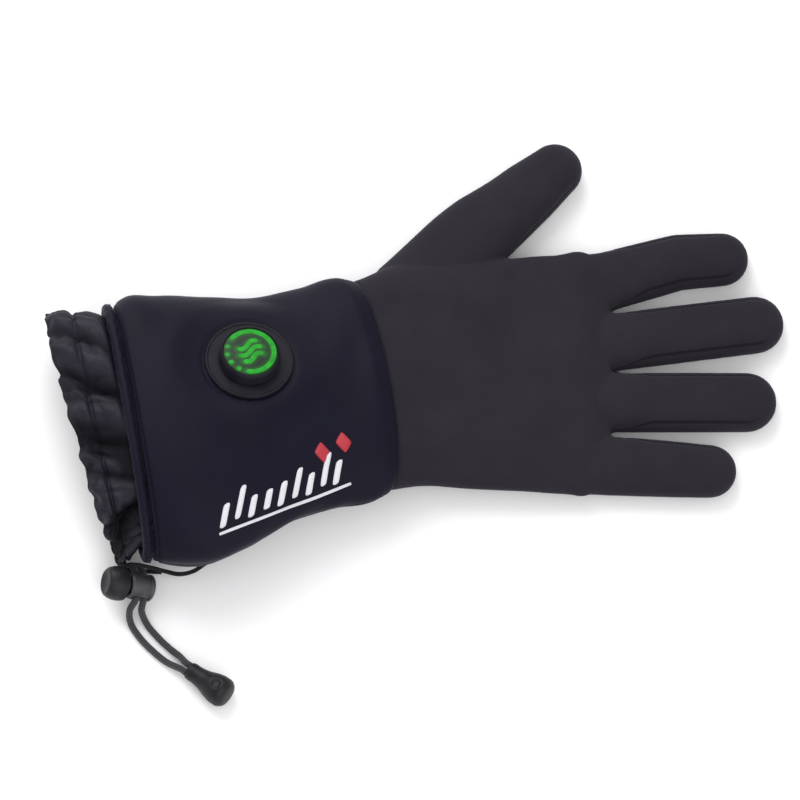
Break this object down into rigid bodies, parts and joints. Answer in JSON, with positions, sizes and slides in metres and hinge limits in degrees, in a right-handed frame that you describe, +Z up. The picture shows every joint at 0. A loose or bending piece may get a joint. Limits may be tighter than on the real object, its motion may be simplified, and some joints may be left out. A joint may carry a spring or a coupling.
{
  "type": "heated glove",
  "caption": "Right-hand heated glove lying palm down: thin knit hand, padded cuff with a lit round control, and a gathered nylon gaiter with drawcord, sprung cord lock and cord end.",
  "frame": {"origin": "under the middle of the glove without its cord pieces, on the surface it lies on", "axes": "+X towards the fingertips, +Y towards the thumb side, +Z up out of the back of the hand"},
  "size_m": [0.316, 0.2523, 0.0521],
  "materials": {
    "knit": "brushed stretch knit",
    "padded_cloth": "smooth padded stretch cloth",
    "nylon": "thin sheer-finish nylon",
    "control_rubber": "matte moulded rubber",
    "light": "dark translucent window over green lights",
    "cord_plastic": "satin moulded plastic",
    "cord": "braided elastic cord"
  },
  "bodies": {
    "glove": {"hand_back": "knit", "hand_palm": "knit", "side_strip_thumb_index": "knit", "side_strip_index_middle": "knit", "side_strip_middle_ring": "knit", "side_strip_ring_little": "knit", "cuff": "padded_cloth", "cuff_binding": "padded_cloth", "gaiter": "nylon", "control_base": "control_rubber", "control_cap": "control_rubber", "light_window": "light", "cord_lock_body": "cord_plastic", "cord_end": "cord_plastic", "drawcord_front": "cord", "drawcord_back": "cord", "anchor_tape": "cord"},
    "lock_button": {"cord_lock_plunger": "cord_plastic"}
  },
  "joints": [
    {"name": "lock_press", "type": "slide", "parent": "glove", "child": "lock_button", "axis": [0.9063, 0, -0.4226], "range_m": [0, 0.003], "stiffness_N_per_m": 300, "springref_m": -0.004}
  ]
}
